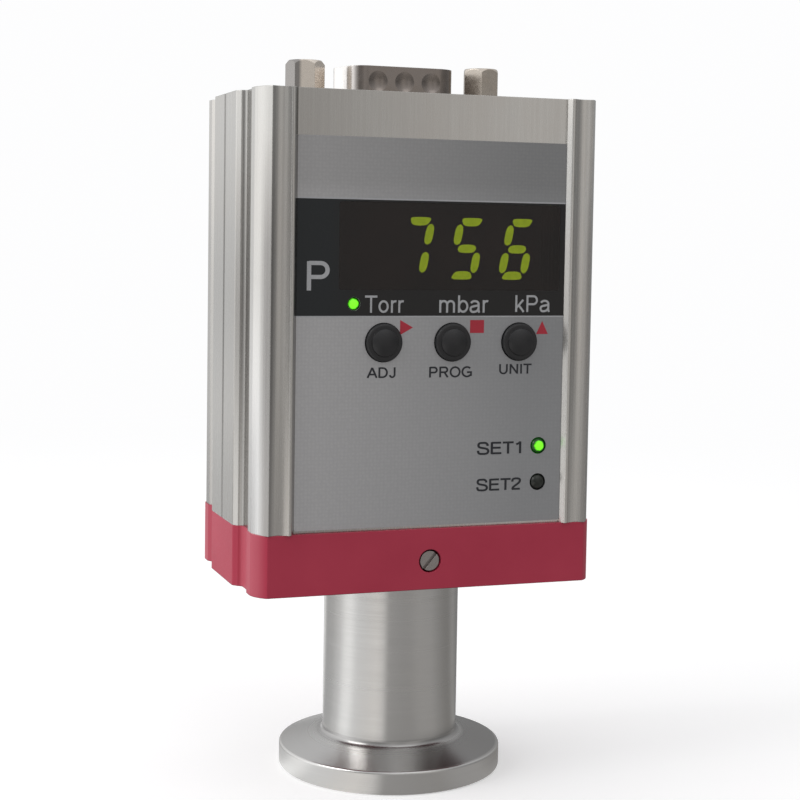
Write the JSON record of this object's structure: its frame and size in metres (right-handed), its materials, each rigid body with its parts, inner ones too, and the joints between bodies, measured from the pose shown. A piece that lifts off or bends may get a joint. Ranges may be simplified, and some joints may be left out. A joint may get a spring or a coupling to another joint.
{
  "type": "capacitance vacuum transducer",
  "caption": "Capacitance vacuum transducer: stainless vacuum flange and tube, red base cap, grooved aluminium housing with pressure display, push buttons and lamps, D connector on top.",
  "frame": {"origin": "centre of the vacuum flange's sealing face", "axes": "+Z along the vacuum axis, up towards the electrical connector; the display faces -Y; +X is to the right as the display is read"},
  "size_m": [0.0472, 0.0312, 0.0945],
  "materials": {
    "anodised_aluminium": "satin anodised, fine lines along the extrusion",
    "milled_aluminium": "satin, finely milled",
    "red_paint": "satin red",
    "stainless": "turned, fine rings",
    "screw_steel": "bright",
    "nickel_plate": "satin plated",
    "tin_plate": "satin plated, drawn",
    "gold_plate": "bright plated",
    "alumina": "matt, ground",
    "seal_rubber": "matt",
    "label_film": "fine textured film",
    "label_black": "black band printed on the label film",
    "label_print": "dark print",
    "label_white": "white print",
    "label_red": "red print",
    "tinted_window": "clear, smoke tinted",
    "display_body": "matt black face",
    "segment_lit": "emissive yellow-green, glowing",
    "segment_dark": "diffusing resin, unlit",
    "button_black": "fine satin",
    "lamp_lit": "emissive green, glowing",
    "lamp_dark": "green diffusing lens, unlit",
    "circuit_board": "solder mask",
    "moulding_black": "moulded",
    "plunger_grey": "moulded",
    "relay_white": "moulded",
    "capacitor_can": "sleeved can"
  },
  "bodies": {
    "transducer": {"base_cap": "red_paint", "bulk_capacitors": "capacitor_can", "cap_screws": "screw_steel", "cell_clamp_ring": "stainless", "cell_housing": "stainless", "cell_seal_ring": "seal_rubber", "ceramic_base": "alumina", "connector_board": "circuit_board", "connector_header": "moulding_black", "converter_chip": "moulding_black", "diaphragm": "alumina", "display_board": "circuit_board", "display_window": "tinted_window", "dsub_front_shell": "tin_plate", "dsub_insulator": "moulding_black", "dsub_pins": "gold_plate", "dsub_rear_shell": "tin_plate", "electrode_plate": "alumina", "feedthrough_pins": "gold_plate", "front_label": "label_film", "getter_pot": "stainless", "housing_extrusion": "anodised_aluminium", "jackscrew_nuts": "nickel_plate", "jackscrews": "nickel_plate", "kf_flange_tube": "stainless", "led_display_module": "display_body", "led_kpa": "lamp_dark", "led_mbar": "lamp_dark", "led_set1": "lamp_lit", "led_set2": "lamp_dark", "led_torr": "lamp_lit", "link_header": "moulding_black", "link_socket": "moulding_black", "lock_screws": "screw_steel", "main_board": "circuit_board", "panel_screws": "screw_steel", "port_baffle": "stainless", "power_inductor": "moulding_black", "preamp_board": "circuit_board", "preamp_header": "moulding_black", "processor_chip": "moulding_black", "setpoint_relays": "relay_white", "tact_switch_adj": "moulding_black", "tact_switch_prog": "moulding_black", "tact_switch_unit": "moulding_black", "top_panel": "milled_aluminium"},
    "adj_button": {"button_adj": "button_black", "switch_plunger_adj": "plunger_grey"},
    "prog_button": {"button_prog": "button_black", "switch_plunger_prog": "plunger_grey"},
    "unit_button": {"button_unit": "button_black", "switch_plunger_unit": "plunger_grey"}
  },
  "joints": [
    {"name": "adj_press", "type": "slide", "parent": "transducer", "child": "adj_button", "axis": [0, 1, 0], "range_m": [0, 0.0004], "stiffness_N_per_m": 1500},
    {"name": "prog_press", "type": "slide", "parent": "transducer", "child": "prog_button", "axis": [0, 1, 0], "range_m": [0, 0.0004], "stiffness_N_per_m": 1500},
    {"name": "unit_press", "type": "slide", "parent": "transducer", "child": "unit_button", "axis": [0, 1, 0], "range_m": [0, 0.0004], "stiffness_N_per_m": 1500}
  ]
}
